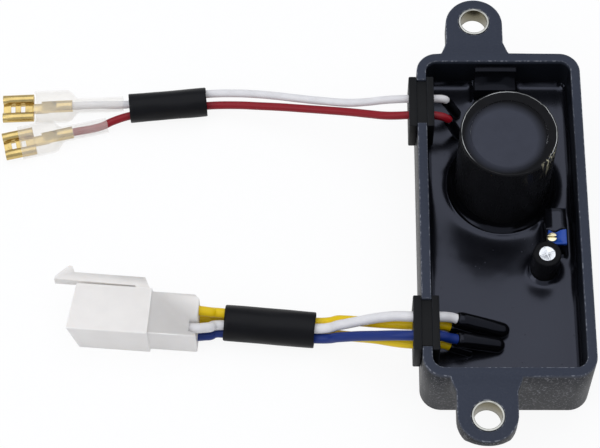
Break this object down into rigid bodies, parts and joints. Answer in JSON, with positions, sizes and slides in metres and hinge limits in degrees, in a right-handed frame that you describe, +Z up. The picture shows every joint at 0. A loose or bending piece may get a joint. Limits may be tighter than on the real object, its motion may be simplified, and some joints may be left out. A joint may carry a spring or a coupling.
{
  "type": "automatic voltage regulator",
  "caption": "Potted automatic voltage regulator in an open black case with mounting ears, capacitors, trimmer and two wire harnesses with spade terminals and a plug housing.",
  "frame": {"origin": "centre of the case base, on the surface it lies on", "axes": "+Z up out of the open side, +Y along the case towards the two-wire end, wires leave towards -X"},
  "size_m": [0.1443, 0.1178, 0.0369],
  "materials": {
    "case": "moulded black thermoplastic, fine grain",
    "bushing": "bright zinc plate",
    "grommet": "black rubber, matte",
    "resin": "black potting resin, glossy",
    "board": "bare laminate under the resin",
    "can": "drawn aluminium",
    "shrink": "black shrink film",
    "disc": "dark vent disc, satin",
    "trimmer": "blue moulded plastic",
    "brass": "plain brass",
    "epoxy": "moulded epoxy",
    "film": "painted film resistor body",
    "wire_white": "white insulation",
    "wire_red": "red insulation",
    "wire_blue": "blue insulation",
    "wire_yellow": "yellow insulation",
    "sleeve": "black sleeve, satin",
    "clear": "clear soft plastic",
    "nylon": "natural nylon"
  },
  "bodies": {
    "regulator": {"housing": "case", "ear_bushing_far": "bushing", "ear_bushing_near": "bushing", "grommet_upper": "grommet", "grommet_lower": "grommet", "potting_compound": "resin", "circuit_board": "board", "main_capacitor_can": "can", "main_capacitor_sleeve": "shrink", "main_capacitor_disc": "disc", "small_capacitor_can": "can", "small_capacitor_sleeve": "shrink", "trimmer_body": "trimmer", "power_transistor": "epoxy", "rectifier_diodes": "epoxy", "resistors": "film", "field_wire_white": "wire_white", "field_wire_red": "wire_red", "sense_wire_white": "wire_white", "sense_wire_blue": "wire_blue", "winding_wire_a": "wire_yellow", "winding_wire_b": "wire_yellow", "harness_sleeve_upper": "sleeve", "harness_sleeve_lower": "sleeve", "spade_terminal_white": "brass", "spade_terminal_red": "brass", "terminal_cover_white": "clear", "terminal_cover_red": "clear", "connector_housing": "nylon", "connector_contacts": "brass"},
    "adjuster": {"trimmer_screw": "brass"}
  },
  "joints": [
    {"name": "trimmer_turn", "type": "hinge", "parent": "regulator", "child": "adjuster", "pos_m": [0.0115, -0.0055, 0.0155], "axis": [0, 0, 1], "continuous": true}
  ]
}
